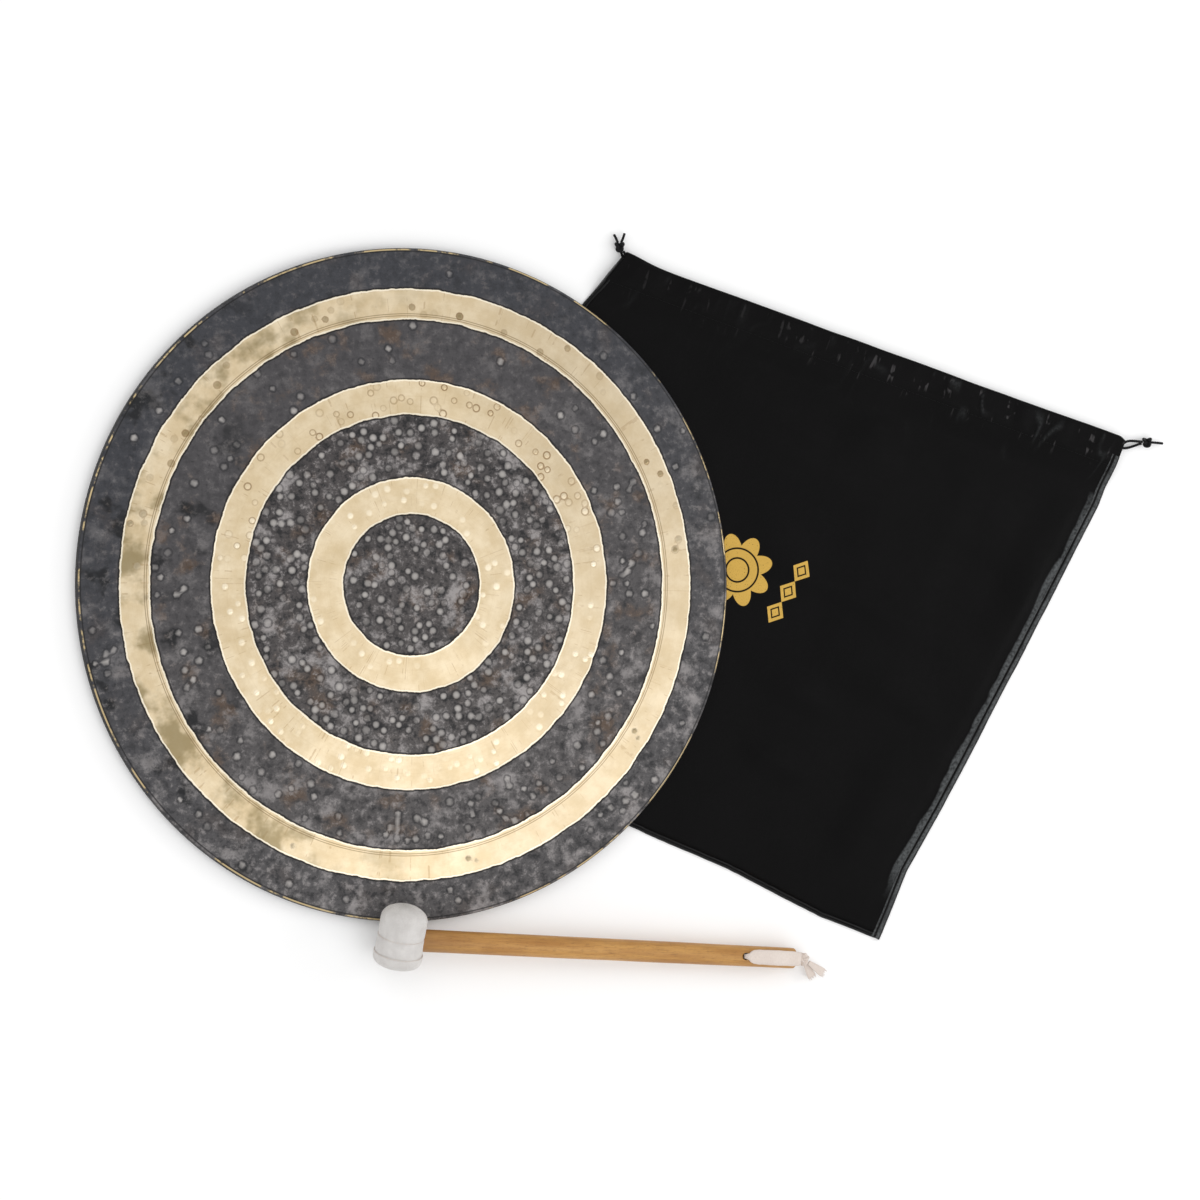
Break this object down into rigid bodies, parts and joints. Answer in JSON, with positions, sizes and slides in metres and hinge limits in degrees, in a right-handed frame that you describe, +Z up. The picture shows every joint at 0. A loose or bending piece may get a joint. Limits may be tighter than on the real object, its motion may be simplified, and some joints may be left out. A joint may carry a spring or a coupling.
{
  "type": "tam tam gong set",
  "caption": "Shallow domed bronze tam tam with a turned-back rim, shown face up on its drawstring carry bag with a padded wooden beater leaning on its edge.",
  "frame": {"origin": "on the ground, straight below the middle of the gong, on the underside of the bag's back panel", "axes": "+Z up out of the gong's face, +X towards the beater's free end and the bag, +Y away from the beater"},
  "size_m": [1.0441, 0.6873, 0.0573],
  "materials": {
    "gong_bronze": "dark grey-brown oxide skin with hammer marks, and three bright turned rings",
    "handle_wood": "oiled golden brown wood, straight grain",
    "core_wood": "raw turned wood",
    "felt": "pressed wool felt",
    "head_cloth": "off-white plain-woven cotton, matt",
    "strap_tape": "natural cotton tape, matt",
    "bag_cloth": "black smooth synthetic cloth, faint sheen",
    "bag_cord": "black braided cord, matt"
  },
  "bodies": {
    "gong": {"gong_disc": "gong_bronze"},
    "beater": {"beater_handle": "handle_wood", "beater_head_core": "core_wood", "beater_head_padding": "felt", "beater_head_cover": "head_cloth", "beater_head_hem": "head_cloth"},
    "strap": {"strap_loop": "strap_tape", "strap_knot": "strap_tape", "strap_tail_long": "strap_tape", "strap_tail_short": "strap_tape"},
    "bag": {"bag_back_panel": "bag_cloth", "bag_front_panel": "bag_cloth", "bag_left_seam": "bag_cloth", "bag_right_seam": "bag_cloth", "bag_bottom_seam": "bag_cloth", "bag_back_hem": "bag_cloth", "bag_front_hem": "bag_cloth", "left_cord_in_hems": "bag_cord", "right_cord_in_hems": "bag_cord"},
    "left_drawstring": {"drawstring_left_front_strand": "bag_cord", "drawstring_left_back_strand": "bag_cord", "drawstring_left_knot": "bag_cord", "drawstring_left_tail_1": "bag_cord", "drawstring_left_tail_2": "bag_cord"},
    "right_drawstring": {"drawstring_right_front_strand": "bag_cord", "drawstring_right_back_strand": "bag_cord", "drawstring_right_knot": "bag_cord", "drawstring_right_tail_1": "bag_cord"}
  },
  "joints": [
    {"name": "beater_lift", "type": "slide", "parent": "gong", "child": "beater", "axis": [0, 0, 1], "range_m": [0, 0.3]},
    {"name": "strap_swing", "type": "hinge", "parent": "beater", "child": "strap", "pos_m": [0.31881, -0.34081, 0.01442], "axis": [0.0433, -0.0027, 0.9991], "range_deg": [-90, 90]},
    {"name": "bag_draw_out", "type": "slide", "parent": "gong", "child": "bag", "axis": [1, 0, 0], "range_m": [0, 0.45]},
    {"name": "left_drawstring_pull", "type": "slide", "parent": "bag", "child": "left_drawstring", "axis": [-0.9493, 0.3145, 0], "range_m": [0, 0.15]},
    {"name": "right_drawstring_pull", "type": "slide", "parent": "bag", "child": "right_drawstring", "axis": [0.9493, -0.3145, 0], "range_m": [0, 0.15]}
  ]
}
